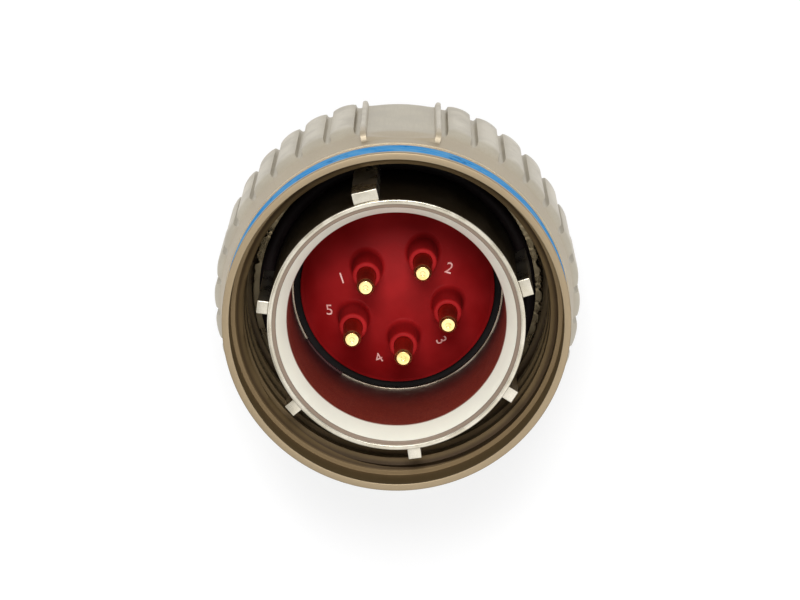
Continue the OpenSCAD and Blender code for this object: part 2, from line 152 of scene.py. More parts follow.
def rounded_block(half: Triple, radius: float, steps: int = 4) -> np.ndarray:
    """A block with rounded edges, as a column of outlines.

    Each outline is the block's inner rectangle pushed out along the edge's direction, and the
    first and last ones close in by a quarter round.

    Args:
        half: half sizes along x, y and z.
        radius: rounding of the edges.
        steps: spans of a quarter round.

    Returns:
        Points of shape levels, outline points, 3, closed at both ends.
    """
    quarter = np.linspace(0, np.pi / 2, steps + 1)
    turn = (np.arange(4)[:, None] * np.pi / 2 + quarter).ravel()
    side = np.repeat(np.array([[1, 1], [-1, 1], [-1, -1], [1, -1]]), steps + 1, 0)
    inner = side * (np.array(half[:2]) - radius)
    lift = np.concatenate([quarter[::-1] * -1, quarter])
    sign = np.repeat([-1.0, 1.0], steps + 1)
    xy = inner[None] + radius * np.cos(lift)[:, None, None] * np.stack(
        [np.cos(turn), np.sin(turn)], -1)[None]
    z = sign * (half[2] - radius) + radius * np.sin(lift)
    return capped(np.concatenate(
        [xy, np.broadcast_to(z[:, None, None], xy.shape[:2] + (1,))], -1))


@dataclass
class Piece:
    """Collects grids into one mesh object that rides on a body."""

    name: str
    body: Body
    slot: str
    points: list[np.ndarray] = field(default_factory=list)
    quads: list[np.ndarray] = field(default_factory=list)
    count: int = 0

    def add(self, grid: np.ndarray, closed: bool = True, over: np.ndarray | None = None
            ) -> "Piece":
        """Adds a closed shell given as a grid, turned so that its faces look outwards.

        Args:
            grid: points of shape columns, rows, 3.
            closed: joins the last column to the first.
            over: see weave.

        Returns:
            The piece itself.
        """
        flat = grid.reshape(-1, 3)
        quads = weave(grid.shape[0], grid.shape[1], closed, over)
        a, b, c, d = (flat[quads[:, i]] for i in range(4))
        volume = (a * np.cross(b, c)).sum() + (a * np.cross(c, d)).sum()
        self.quads.append((quads if volume > 0 else quads[:, ::-1]) + self.count)
        self.points.append(flat)
        self.count += len(flat)
        return self

    def make(self, finish: "Finish", *stands_for: str, sharp: float = 34.0) -> bpy.types.Object:
        """Merges the points, drops what closes up, and writes the object.

        Args:
            finish: the piece's finish.
            stands_for: CAD nodes that the piece replaces.
            sharp: angle between faces past which an edge is sharp, in degrees.

        Returns:
            The new object.
        """
        points = np.concatenate(self.points)
        _, first, same = np.unique(np.round(points / MERGE).astype(np.int64), axis=0,
                                   return_index=True, return_inverse=True)
        quads = same.ravel()[np.concatenate(self.quads)]
        twin = quads == np.roll(quads, -1, 1)
        whole = quads[~twin.any(1)]
        once = twin.sum(1) == 1
        thin = quads[once][~twin[once]].reshape(-1, 3)
        whole = whole[(whole[:, 0] != whole[:, 2]) & (whole[:, 1] != whole[:, 3])]
        thin = thin[thin[:, 0] != thin[:, 2]]
        mesh = bpy.data.meshes.new(self.name)
        mesh.from_pydata((points[first] * MM).tolist(), [], whole.tolist() + thin.tolist())
        mesh.validate()
        mesh.shade_smooth()
        mesh.set_sharp_from_angle(angle=math.radians(sharp))
        mesh.materials.append(finish.material())
        made = link(self.name, mesh)
        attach(made, self.body.value)
        if stands_for:
            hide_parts(*stands_for)
        log.info("%s: %d points, %d faces", self.name, len(mesh.vertices), len(mesh.polygons))
        return made


def ring_angles(count: int) -> np.ndarray:
    """Even angles round a full turn."""
    return np.arange(count) * TAU / count


@dataclass(frozen=True)
class Helix:
    """A helical ridge inside or outside a wall, worked out on rows that follow the helix."""

    low: float
    high: float
    root_r: float
    height: float
    pitch: float
    crest_w: float
    flank: float
    start: float
    inward: bool
    fade: float
    rows_per_ridge: int

    def radius(self, angle: np.ndarray, z: np.ndarray) -> np.ndarray:
        """Wall radius: a smoothed trapezoid on the distance to the ridge's middle.

        Args:
            angle: angles, in radians.
            z: heights.

        Returns:
            Radii, with the ridge fading to the root near both ends.
        """
        u = (z - self.high) / self.pitch - (angle - self.start) / TAU
        off = np.abs(u - np.floor(u) - 0.5) * self.pitch
        rise = np.clip((self.crest_w / 2 + self.flank - off) / self.flank, 0, 1)
        rise = rise * rise * (3 - 2 * rise)
        room = np.clip(np.minimum(self.high - z, z - self.low) / self.fade, 0, 1)
        return self.root_r + (-1 if self.inward else 1) * self.height * rise * room

    def grid(self, angles: np.ndarray) -> tuple[np.ndarray, np.ndarray]:
        """Rows that run along the helix, held between the wall's ends.

        Args:
            angles: the columns' angles, rising from the start angle by less than a turn.

        Returns:
            Radius and height of each point by column, and the row that each one meets after
            a full turn.
        """
        ridges = math.ceil((self.high - self.low) / self.pitch) + 3
        reach = self.crest_w / 2 + self.flank
        offset = np.linspace(reach, -reach, self.rows_per_ridge)
        turn = ((angles - self.start) / TAU)[:, None, None]
        middle = self.high - (np.arange(ridges)[None, :, None] - 0.5 - turn) * self.pitch
        z = np.clip(middle + offset, self.low, self.high).reshape(len(angles), -1)
        r = self.radius(angles[:, None], z)
        rows = z.shape[1]
        return np.stack([r, z], -1), np.maximum(np.arange(rows) - self.rows_per_ridge, 0)


def with_helix(before: np.ndarray, helix: Helix, after: np.ndarray, angles: np.ndarray
               ) -> tuple[np.ndarray, np.ndarray]:
    """Puts a helical wall into a closed outline.

    Args:
        before: radius and height of the outline's points ahead of the wall.
        helix: the wall.
        after: the points behind it.
        angles: the columns' angles.

    Returns:
        The outline by column, and the row that each one meets after a full turn.
    """
    wall, meets = helix.grid(angles)
    n = len(angles)
    parts = [np.broadcast_to(p, (n,) + p.shape[-2:]) for p in (before, wall, after)]
    start, stop = parts[0].shape[1], parts[0].shape[1] + wall.shape[1]
    over = np.arange(stop + parts[2].shape[1])
    over[start:stop] = meets + start
    return np.concatenate(parts, 1), over


# ------------------------------------------------------------------ finishes
class Wire:
    """A node's socket that maths can be written on."""

    def __init__(self, net: "Net", socket: bpy.types.NodeSocket) -> None:
        """Keeps the net that the socket is in."""
        self.net = net
        self.socket = socket

    def _maths(self, operation: str, *values: "Wire | float") -> "Wire":
        """Adds one Math node."""
        return self.net.node("ShaderNodeMath", {"operation": operation}, dict(enumerate(values)))

    def __add__(self, other: "Wire | float") -> "Wire":
        """Sum."""
        return self._maths("ADD", self, other)

    __radd__ = __add__

    def __mul__(self, other: "Wire | float") -> "Wire":
        """Product."""
        return self._maths("MULTIPLY", self, other)

    __rmul__ = __mul__

    def __sub__(self, other: "Wire | float") -> "Wire":
        """Difference."""
        return self._maths("SUBTRACT", self, other)

    def __rsub__(self, other: float) -> "Wire":
        """Difference from a number."""
        return self._maths("SUBTRACT", other, self)

    def __gt__(self, other: float) -> "Wire":
        """One where it is greater, else nought."""
        return self._maths("GREATER_THAN", self, other)

    def root(self) -> "Wire":
        """Square root."""
        return self._maths("SQRT", self)

    def angle_to(self, x: "Wire") -> "Wire":
        """Angle of the point whose y is this and whose x is given."""
        return self._maths("ARCTAN2", self, x)

    def ramp(self, low: float, high: float, to_low: float = 0.0, to_high: float = 1.0) -> "Wire":
        """Smooth step from one value to another as this goes from low to high."""
        return self.net.node("ShaderNodeMapRange", {"interpolation_type": "SMOOTHSTEP"},
                             {"Value": self, "From Min": low, "From Max": high,
                              "To Min": to_low, "To Max": to_high})

    def band(self, start: float, full: float, ending: float, ended: float) -> "Wire":
        """One from full to ending, and nought before start and after ended."""
        return self.ramp(start, full) * (1 - self.ramp(ending, ended))

    def out(self, name: str | int) -> "Wire":
        """Another output of the same node."""
        return Wire(self.net, self.socket.node.outputs[name])


class Net:
    """Builds the node tree of one material or world."""

    def __init__(self, owner: bpy.types.Material | bpy.types.World) -> None:
        """Empties the owner's tree."""
        owner.use_nodes = True
        self.tree = owner.node_tree
        self.tree.nodes.clear()

    def node(self, kind: str, settings: dict | None = None, inputs: dict | None = None) -> Wire:
        """Adds a node: its settings first, then the values or links of its sockets.

        Args:
            kind: the node's type.
            settings: attributes of the node.
            inputs: values or wires by socket name or number.

        Returns:
            The node's first output.
        """
        made = self.tree.nodes.new(kind)
        for name, value in (settings or {}).items():
            setattr(made, name, value)
        for name, value in (inputs or {}).items():
            socket = made.inputs[name]
            if isinstance(value, Wire):
                self.tree.links.new(value.socket, socket)
            elif isinstance(value, tuple) and socket.type == "RGBA":
                socket.default_value = (*value, 1.0)
            else:
                socket.default_value = value
        return Wire(self, made.outputs[0] if made.outputs else made.inputs[0])

    def at(self) -> Wire:
        """The object's own coordinates, in millimetres."""
        own = self.node("ShaderNodeTexCoord").out("Object")
        return self.node("ShaderNodeVectorMath", {"operation": "SCALE"},
                         {"Vector": own, "Scale": 1 / MM})

    def split(self, at: Wire) -> tuple[Wire, Wire, Wire]:
        """The x, y and z of a place."""
        x = self.node("ShaderNodeSeparateXYZ", {}, {"Vector": at})
        return x, x.out("Y"), x.out("Z")

    def turned(self, at: Wire) -> tuple[Wire, Wire]:
        """Radius and height of a place."""
        x, y, z = self.split(at)
        return (x * x + y * y).root(), z

    def noise(self, at: Wire, size: float, detail: float = 3.0, rough: float = 0.5) -> Wire:
        """Noise from 0 to 1 with features of about size millimetres."""
        return self.node("ShaderNodeTexNoise", {"noise_dimensions": "3D"},
                         {"Vector": at, "Scale": 1 / size, "Detail": detail,
                          "Roughness": rough})

    def squeeze(self, at: Wire, x: float, y: float, z: float) -> Wire:
        """The coordinates times a number on each axis, for long grain."""
        return self.node("ShaderNodeVectorMath", {"operation": "MULTIPLY"},
                         {0: at, 1: (x, y, z)})

    def around(self, at: Wire, along: float, upright: float) -> Wire:
        """Coordinates on the turned surface: angle, radius and height, each times a number."""
        x, y, z = self.split(at)
        r = (x * x + y * y).root()
        return self.node("ShaderNodeCombineXYZ", {}, {"X": y.angle_to(x) * along, "Y": r * upright,
                                                      "Z": z * upright})

    def mix(self, factor: Wire | float, a: Wire | Colour, b: Wire | Colour) -> Wire:
        """Blend of two colours."""
        return self.node("ShaderNodeMix", {"data_type": "RGBA"},
                         {"Factor": factor, 6: a, 7: b}).out(2)

    def bump(self, height: Wire, depth: float) -> Wire:
        """Surface relief: height from 0 to 1 stands for depth millimetres."""
        return self.node("ShaderNodeBump", {}, {"Height": height, "Distance": depth * MM,
                                                "Strength": 1.0})

    def surface(self, **inputs: "Wire | float | tuple") -> None:
        """Ends the tree in a Principled shader with the given sockets."""
        named = {name.replace("_", " "): value for name, value in inputs.items()}
        shader = self.node("ShaderNodeBsdfPrincipled", {}, named)
        self.node("ShaderNodeOutputMaterial", {}, {"Surface": shader})


def tone(red: int, green: int, blue: int) -> Colour:
    """A colour of 0 to 255 on each channel, as linear light."""
    part = np.array([red, green, blue]) / 255
    linear = np.where(part <= 0.04045, part / 12.92, ((part + 0.055) / 1.055) ** 2.4)
    return tuple(float(v) for v in linear)


_made: dict[str, bpy.types.Material] = {}


@dataclass(frozen=True)
class Finish:
    """A finish that several pieces can share."""

    name: str

    def material(self) -> bpy.types.Material:
        """The finish's material, made once."""
        if self.name not in _made:
            made = bpy.data.materials.new(self.name)
            self.paint(Net(made))
            _made[self.name] = made
        return _made[self.name]

    def paint(self, net: Net) -> None:
        """Builds the material's nodes."""
        raise NotImplementedError


@dataclass(frozen=True)
class TurnedNickel(Finish):
    """Plated metal with fine turning lines, mottled plating and brighter rubbed patches."""

    colour: Colour = tone(180, 174, 160)
    deep: Colour = tone(160, 153, 137)
    edge: Colour = tone(218, 213, 200)
    roughness: float = 0.3
    line_depth: float = 0.0015

    def paint(self, net: Net) -> None:
        """Mottle tints the plating; noise stretched round the axis gives the turning lines."""
        at = net.at()
        lines = net.noise(net.around(at, 1.2, 14.0), 1.0, 2.0, 0.6)
        mottle = net.noise(at, 2.4, 4.0, 0.55)
        grain = net.noise(at, 0.06, 2.0, 0.5)
        rubbed = mottle.ramp(0.42, 0.62) * grain.ramp(0.35, 0.65)
        base = net.mix(mottle.ramp(0.3, 0.7), self.deep, self.colour)
        base = net.mix(lines.ramp(0.35, 0.75, 0.0, 0.25), base, self.deep)
        base = net.mix(rubbed * 0.3, base, self.edge)
        rough = mottle.ramp(0.3, 0.75, self.roughness - 0.05, self.roughness + 0.07)
        rough = rough + lines.ramp(0.4, 0.7, -0.02, 0.04)
        metal, base, rough = self.regions(net, at, base, rough)
        net.surface(Base_Color=base, Metallic=metal, Roughness=rough,
                    Normal=net.bump(lines, self.line_depth))

    def regions(self, net: Net, at: Wire, base: Wire, rough: Wire
                ) -> tuple[Wire | float, Wire, Wire]:
        """What differs from place to place: nothing here.

        Args:
            net: the material's net.
            at: the place, in millimetres.
            base: the base colour so far.
            rough: the roughness so far.

        Returns:
            Metallic, base colour and roughness.
        """
        return 1.0, base, rough


@dataclass(frozen=True)
class ShellNickel(TurnedNickel):
    """The shell's plating: bright lip, pale satin bevel, painted shade in the lip's step, a bore
    painted red as a reflection of the seal with painted shade deeper in, painted shade on the
    barrel side and painted light on the flange face.
    """

    bevel: Colour = tone(240, 240, 226)
    # painted shade: the dark ring at the lip's step
    step: Colour = tone(92, 67, 48)
    # painted reflection: the bore's red stands for the red seal reflected in the plating, and the
    # darker colour two lines below is painted shade deeper in the bore
    bore: Colour = tone(104, 27, 20)
    bore_speck: Colour = tone(170, 84, 58)
    bore_painted_shade: Colour = tone(58, 12, 13)
    # painted shade: the barrel's outer side inside the nut is darkened in the colour
    side: Colour = tone(66, 54, 38)
    # painted light: the flange face deep inside the nut is brightened in the colour to look lit
    painted_light_flange: Colour = tone(188, 168, 128)
    within_r: Pair = (10.40, 10.46)
    bevel_z: Pair = (29.1, 29.3)
    step_z: Span = (30.96, 31.04, 31.14, 31.18)
    bore_z: Pair = (17.0, 17.5)
    bore_painted_shade_z: Pair = (18.5, 24.5)
    painted_shade_side_r: Span = (10.76, 10.79, 10.82, 10.85)
    painted_side_z: Span = (18.9, 19.0, 31.0, 31.18)
    flange_r: Pair = (11.4, 11.6)
    painted_light_flange_z: Span = (17.2, 17.3, 18.9, 19.1)

    def regions(self, net: Net, at: Wire, base: Wire, rough: Wire
                ) -> tuple[Wire | float, Wire, Wire]:
        """Radius and height tell the regions apart.

        Args:
            net: the material's net.
            at: the place, in millimetres.
            base: the base colour so far.
            rough: the roughness so far.

        Returns:
            Metallic, base colour and roughness.
        """
        speck = net.noise(at, 0.08, 3.0, 0.7)
        r, z = net.turned(at)
        within = 1 - r.ramp(*self.within_r)
        front = z.ramp(*self.bevel_z)
        bevel = within * front
        # painted shade in the lip's step
        step = bevel * z.band(*self.step_z)
        bore = within * (1 - front) * z.ramp(*self.bore_z)
        # painted shade on the barrel side
        side = r.band(*self.painted_shade_side_r) * z.band(*self.painted_side_z)
        # painted light on the flange face
        painted_light_flange = r.ramp(*self.flange_r) * z.band(*self.painted_light_flange_z)
        base = net.mix(bevel, base, self.bevel)
        base = net.mix(step * 0.9, base, self.step)
        # painted reflection of the red seal in the bore, turning into painted shade towards the
        # insert
        red = net.mix(speck.ramp(0.48, 0.66, 0.0, 0.8), self.bore, self.bore_speck)
        red = net.mix(z.ramp(*self.bore_painted_shade_z), self.bore_painted_shade, red)
        base = net.mix(bore, base, red)
        base = net.mix(side * 0.9, base, self.side)
        base = net.mix(painted_light_flange * 0.8, base, self.painted_light_flange)
        rough = rough + bevel * 0.12 + bore * 0.25 + side * 0.1
        return 1 - bevel * 0.75 + step * 0.4 - bore * 0.85, base, rough


@dataclass(frozen=True)
class BlastedNickel(Finish):
    """Satin tan plating over a blasted surface, with milled lines and brighter edges, and painted
    shade inside the nut and in its thread roots.
    """

    colour: Colour = tone(180, 173, 157)
    deep: Colour = tone(165, 157, 141)
    edge: Colour = tone(212, 206, 194)
    front: Colour = tone(160, 142, 113)
    rim: Colour = tone(134, 118, 93)
    # painted shade: the nut's inside, deep and unlit, darkened in the colour
    inside: Colour = tone(106, 86, 54)
    # painted shade: the thread roots darkened in the colour
    root: Colour = tone(44, 27, 16)
    painted_shade_inside_r: Pair = (14.03, 14.1)
    painted_shade_inside_z: Pair = (30.5, 30.6)
    worn_r: Pair = (15.58, 15.82)
    front_z: Pair = (22.8, 24.8)
    root_r: Span = (13.2, 13.5, 13.9, 13.95)
    painted_root_shade_z: Pair = (27.95, 28.05)
    rim_z: Pair = (30.2, 30.5)

    def paint(self, net: Net) -> None:
        """Fine grain gives the blasted look; long noise along the axis gives the milling."""
        at = net.at()
        r, z = net.turned(at)
        grain = net.noise(at, 0.09, 3.0, 0.6)
        milled = net.noise(net.squeeze(at, 1.0, 1.0, 0.06), 0.14, 2.0, 0.5)
        mottle = net.noise(at, 3.2, 4.0, 0.6)
        worn = r.ramp(*self.worn_r) * mottle.ramp(0.3, 0.6)
        base = net.mix(mottle.ramp(0.3, 0.7), self.deep, self.colour)
        base = net.mix(milled.ramp(0.35, 0.7, 0.0, 0.3), base, self.deep)
        base = net.mix(z.ramp(*self.front_z, 0.0, 0.45), base, self.front)
        base = net.mix(worn * 0.4, base, self.edge)
        # painted shade over the nut's inside
        dark = (1 - r.ramp(*self.painted_shade_inside_r)) * (1 - z.ramp(*self.painted_shade_inside_z))
        base = net.mix(dark * 0.95, base, self.inside)
        # painted shade in the thread roots
        root = r.band(*self.root_r) * (1 - z.ramp(*self.painted_root_shade_z))
        base = net.mix(root * 0.65, base, self.root)
        base = net.mix(z.ramp(*self.rim_z) * (1 - dark) * 0.9, base, self.rim)
        height = grain * 0.004 + milled * 0.003
        net.surface(Base_Color=base, Metallic=0.88 - dark * 0.35,
                    Roughness=mottle.ramp(0.3, 0.7, 0.40, 0.5) + grain * 0.06,
                    Normal=net.bump(height, 1.0))


@dataclass(frozen=True)
class BandPaint(Finish):
    """Blue paint laid round the nose in one pass, with faint streaks and thin places."""

    colour: Colour = tone(18, 118, 184)
    light: Colour = tone(98, 146, 178)
    dark: Colour = tone(14, 66, 112)
    bare: Colour = tone(160, 142, 116)
    full_z: Span = (27.38, 27.55, 29.95, 30.1)

    def paint(self, net: Net) -> None:
        """Noise stretched round the axis gives the streaks; finer noise gives the texture."""
        at = net.at()
        streak = net.noise(net.around(at, 5.0, 5.0), 1.0, 3.0, 0.6)
        patch = net.noise(at, 1.3, 3.0, 0.6)
        grain = net.noise(at, 0.12, 2.0, 0.5)
        base = net.mix(streak.ramp(0.38, 0.62), self.colour, self.light)
        base = net.mix(patch.ramp(0.55, 0.78, 0.0, 0.8), base, self.dark)
        thin = 1 - net.split(at)[2].band(*self.full_z)
        base = net.mix(thin, base, self.bare)
        net.surface(Base_Color=base, Metallic=thin * 0.7,
                    Roughness=patch.ramp(0.3, 0.7, 0.34, 0.48),
                    Specular_IOR_Level=0.0, Normal=net.bump(grain, 0.004))


@dataclass(frozen=True)
class Rubber(Finish):
    """Moulded rubber: soft mottle in the colour, fine skin texture and specks of dust."""

    colour: Colour = tone(152, 24, 26)
    deep: Colour = tone(136, 14, 16)
    dust: Colour = tone(180, 90, 84)
    roughness: float = 0.6
    dust_part: float = 0.06
    gloss: float = 0.12

    def paint(self, net: Net) -> None:
        """Two sizes of noise tint it, and the finest one raises the skin."""
        at = net.at()
        cloud = net.noise(at, 3.0, 3.0, 0.5)
        skin = net.noise(at, 0.11, 3.0, 0.6)
        speck = net.noise(at, 0.22, 1.0, 0.4)
        base = net.mix(cloud.ramp(0.3, 0.72), self.deep, self.colour)
        base = net.mix(speck.ramp(0.7, 0.82, 0.0, self.dust_part), base, self.dust)
        net.surface(Base_Color=base, Metallic=0.0, Specular_IOR_Level=self.gloss,
                    Roughness=cloud.ramp(0.3, 0.7, self.roughness - 0.05, self.roughness + 0.08),
                    Normal=net.bump(skin, 0.006))


@dataclass(frozen=True)
class Gold(Finish):
    """Gold plate over turned brass, a little uneven."""

    colour: Colour = tone(242, 210, 146)
    deep: Colour = tone(226, 186, 116)
    # painted reflection and shade: the pin's side is coloured dark red for the seal reflected in
    # it
    side: Colour = tone(178, 20, 22)
    painted_side_z: Span = (20.0, 20.5, 27.92, 28.12)

    def paint(self, net: Net) -> None:
        """Noise tints the plate, and the pin's side carries a painted red reflection of the seal
        about it, with painted shade.
        """
        at = net.at()
        cloud = net.noise(at, 0.7, 3.0, 0.5)
        marks = net.noise(net.squeeze(at, 0.3, 0.3, 6.0), 0.5, 2.0, 0.5)
        base = net.mix(cloud.ramp(0.35, 0.75), self.colour, self.deep)
        # painted reflection and shade on the pin's side
        side = net.split(at)[2].band(*self.painted_side_z)
        base = net.mix(side * 0.95, base, self.side)
        rough = cloud.ramp(0.3, 0.7, 0.2, 0.3) + side * 0.25
        net.surface(Base_Color=base, Metallic=1.0, Roughness=rough,
                    Normal=net.bump(marks * (1 - side), 0.001))


@dataclass(frozen=True)
class Moulded(Finish):
    """Hard moulded plastic with a faint flow pattern."""

    colour: Colour = tone(24, 20, 20)
    deep: Colour = tone(14, 12, 12)

    def paint(self, net: Net) -> None:
        """Long noise gives the flow pattern, fine noise the skin."""
        at = net.at()
        flow = net.noise(net.squeeze(at, 1.0, 1.0, 0.3), 1.2, 3.0, 0.5)
        skin = net.noise(at, 0.1, 2.0, 0.5)
        net.surface(Base_Color=net.mix(flow.ramp(0.3, 0.7), self.deep, self.colour),
                    Specular_IOR_Level=0.15, Roughness=flow.ramp(0.3, 0.7, 0.5, 0.65),
                    Normal=net.bump(skin, 0.004))


@dataclass(frozen=True)
class Ink(Finish):
    """Pale ink printed on rubber, thin in places."""

    colour: Colour = tone(255, 214, 206)
    thin: Colour = tone(236, 168, 160)

    def paint(self, net: Net) -> None:
        """Noise thins the ink."""
        at = net.at()
        wear = net.noise(at, 0.25, 3.0, 0.6)
        net.surface(Base_Color=net.mix(wear.ramp(0.4, 0.65), self.colour, self.thin),
                    Roughness=wear.ramp(0.3, 0.7, 0.5, 0.65))


SHELL_NICKEL = ShellNickel("shell_nickel")
NUT_NICKEL = BlastedNickel("nut_nickel")
BAND_PAINT = BandPaint("band_paint")
RING_NICKEL = TurnedNickel("ring_nickel", tone(150, 138, 120), tone(124, 113, 98))
SPRING_STEEL = TurnedNickel("spring_steel", tone(168, 164, 158), tone(140, 136, 130),
                            tone(210, 208, 204), 0.34)
CLIP_BRONZE = TurnedNickel("clip_bronze", tone(196, 150, 88), tone(168, 122, 66),
                           tone(228, 190, 130), 0.32)
SEAL_RED = Rubber("seal_red")
GROMMET_RED = Rubber("grommet_red", tone(142, 34, 28), tone(118, 24, 20), tone(160, 96, 86), 0.55,
                     gloss=0.3)
SEAL_BLACK = Rubber("seal_black", tone(30, 22, 22), tone(20, 14, 14), tone(60, 50, 46), 0.6)
INSERT_BLACK = Moulded("insert_black")
CONTACT_GOLD = Gold("contact_gold")
MARK_INK = Ink("mark_ink")


# -------------------------------------------------------------------- pieces
@dataclass
class PlugShell:
    """The keyed barrel, flange, hub and threaded rear, turned from one bar."""

    length: float = 31.3
    barrel_r: float = 10.8
    bore_r: float = 9.22
    bevel_r: float = 10.12
    bevel_depth: float = 1.95
    lip_step: float = 0.22
    lip_land_r: float = 10.42
    flange_r: float = 12.7
    flange_low: float = 17.3
    flange_high: float = 18.8
    hub_r: float = 11.9
    thread_r: float = 11.0
    thread_top: float = 7.8
    relief_r: float = 10.35
    rear_bore_r: float = 8.75
    rim_r: float = 10.4
    tooth_h: float = 0.8
    tooth_count: int = 24
    tooth_half_w: float = 0.48
    tooth_cut: float = 0.68
    snap_low: float = 10.81
    snap_high: float = 11.57
    snap_groove_r: float = 11.2
    ring_low: float = 17.75
    ring_high: float = 18.51
    ring_groove_r: float = 9.54
    insert_seat: float = 14.55
    key_h: float = 0.95
    key_top: float = 31.0
    key_low: float = 20.18
    keys: tuple[Pair, ...] = (
        (104.5, 2.15), (18.0, 1.5), (-31.0, 1.12), (-81.0, 1.12), (221.0, 1.12), (173.5, 1.12))
    key_sink: float = 0.3
    key_edge: float = 0.07
    chip_spans: tuple[tuple[float, float, int], ...] = ((128.0, 178.0, 26), (-14.0, 46.0, 24))
    chip_w: Pair = (0.25, 0.9)
    chip_depth: Pair = (0.05, 0.32)
    chip_most: float = 0.55
    chip_h: float = 0.9
    chip_in: float = 1.2
    seed: int = 17
    columns: int = 576

    def outline(self) -> tuple[np.ndarray, np.ndarray]:
        """The turned section on both sides of the accessory thread.

        Returns:
            Points ahead of the thread, from the rear bore outwards, and points behind it.
        """
        fine, relief_top = 0.05, self.thread_top + 1
        step_z = self.length - self.lip_step
        rear = [(self.rear_bore_r, 0, fine), (self.rim_r, 0, fine),
                (self.rim_r, self.tooth_h, 0.03), (self.thread_r - 0.3, self.tooth_h, 0.03)]
        front = [
            (self.thread_r - 0.62, self.thread_top + 0.28, fine),
            (self.relief_r, self.thread_top + 0.3, fine),
            (self.relief_r, relief_top, 0.1), (self.hub_r, relief_top, 0.22),
            (self.hub_r, self.snap_low, 0.04), (self.snap_groove_r, self.snap_low, 0.03),
            (self.snap_groove_r, self.snap_high, 0.03), (self.hub_r, self.snap_high, 0.04),
            (self.hub_r, self.flange_low, fine), (self.flange_r, self.flange_low, 0.14),
            (self.flange_r, self.flange_high, 0.12), (self.barrel_r, self.flange_high, 0.16),
            (self.barrel_r, self.length, 0.09), (self.lip_land_r, self.length, fine),
            (self.lip_land_r, step_z, 0.04), (self.bevel_r, step_z, fine),
            (self.bore_r, step_z - self.bevel_depth, 0.3),
            (self.bore_r, self.ring_high, 0.04), (self.ring_groove_r, self.ring_high, 0.03),
            (self.ring_groove_r, self.ring_low, 0.03), (self.bore_r, self.ring_low, 0.04),
            (self.bore_r, self.insert_seat, fine), (self.rear_bore_r, self.insert_seat, fine)]
        whole = fillet_outline(rear + front)
        split = len(rear) * 4
        return whole[:split], whole[split:]

    def chips(self, angle: np.ndarray) -> np.ndarray:
        """Depth of the small nicks in the flange's front corner: a sum of narrow bell curves.

        Args:
            angle: angles, in radians.

        Returns:
            Depths in millimetres.
        """
        draw = np.random.default_rng(self.seed)
        depth = np.zeros_like(angle)
        for low, high, count in self.chip_spans:
            middle = np.radians(draw.uniform(low, high, count))
            width = np.radians(draw.uniform(*self.chip_w, count))
            bite = draw.uniform(*self.chip_depth, count)
            off = (angle[:, None] - middle + np.pi) % TAU - np.pi
            depth += (bite * np.exp(-(off / width) ** 2)).sum(1)
        return np.minimum(depth, self.chip_most)

    def build(self) -> None:
        """Revolves the section, cuts the teeth and nicks, and adds the keys."""
        start = math.radians(10)
        thread = Helix(low=self.tooth_h + 0.3, high=self.thread_top + 0.2,
                       root_r=self.thread_r - 0.6, height=0.6, pitch=1.0, crest_w=0.12,
                       flank=0.42, start=start, inward=False, fade=0.45, rows_per_ridge=8)
        angles = start + ring_angles(self.columns)
        ahead, behind = self.outline()
        by_column, over = with_helix(ahead, thread, behind, angles)
        by_column = by_column.copy()
        r, z = by_column[..., 0], by_column[..., 1]
        step = TAU / self.tooth_count
        off = (angles[:, None] + step / 2) % step - step / 2
        cut = self.tooth_cut * (1 - np.abs(r * np.sin(off)) / self.tooth_half_w)
        rear = r < self.rim_r + 0.01
        by_column[..., 1] = np.where(rear, np.maximum(z, cut * (z < self.tooth_h)), z)
        nick = self.chips(angles)[:, None]
        low = self.flange_high - self.chip_h
        corner = (r > self.barrel_r + self.chip_in) & (z > low)
        near = np.clip((z - low) / self.chip_h, 0, 1)
        by_column[..., 0] = np.where(corner & (z < self.flange_high + 0.01), r - nick * near, r)
        shell = Piece("shell_body", Body.SHELL, "shell_nickel")
        shell.add(revolve(by_column, angles), over=over)
        for angle, width in self.keys:
            shell.add(self.key(angle, width), closed=False)
        shell.make(SHELL_NICKEL, "plug_shell")

    def key(self, angle: float, width: float) -> np.ndarray:
        """One key: a block with rounded edges, sunk into the barrel.

        Args:
            angle: the key's place, in degrees.
            width: its width.

        Returns:
            The block's grid.
        """
        root = self.barrel_r - self.key_sink
        tip = self.barrel_r + self.key_h
        half = ((tip - root) / 2, width / 2, (self.key_top - self.key_low) / 2)
        grid = rounded_block(half, self.key_edge)
        grid = grid + np.array([(tip + root) / 2, 0, (self.key_top + self.key_low) / 2])
        turn = math.radians(angle)
        spin = np.array([[math.cos(turn), -math.sin(turn), 0],
                         [math.sin(turn), math.cos(turn), 0], [0, 0, 1]])
        return grid @ spin.T


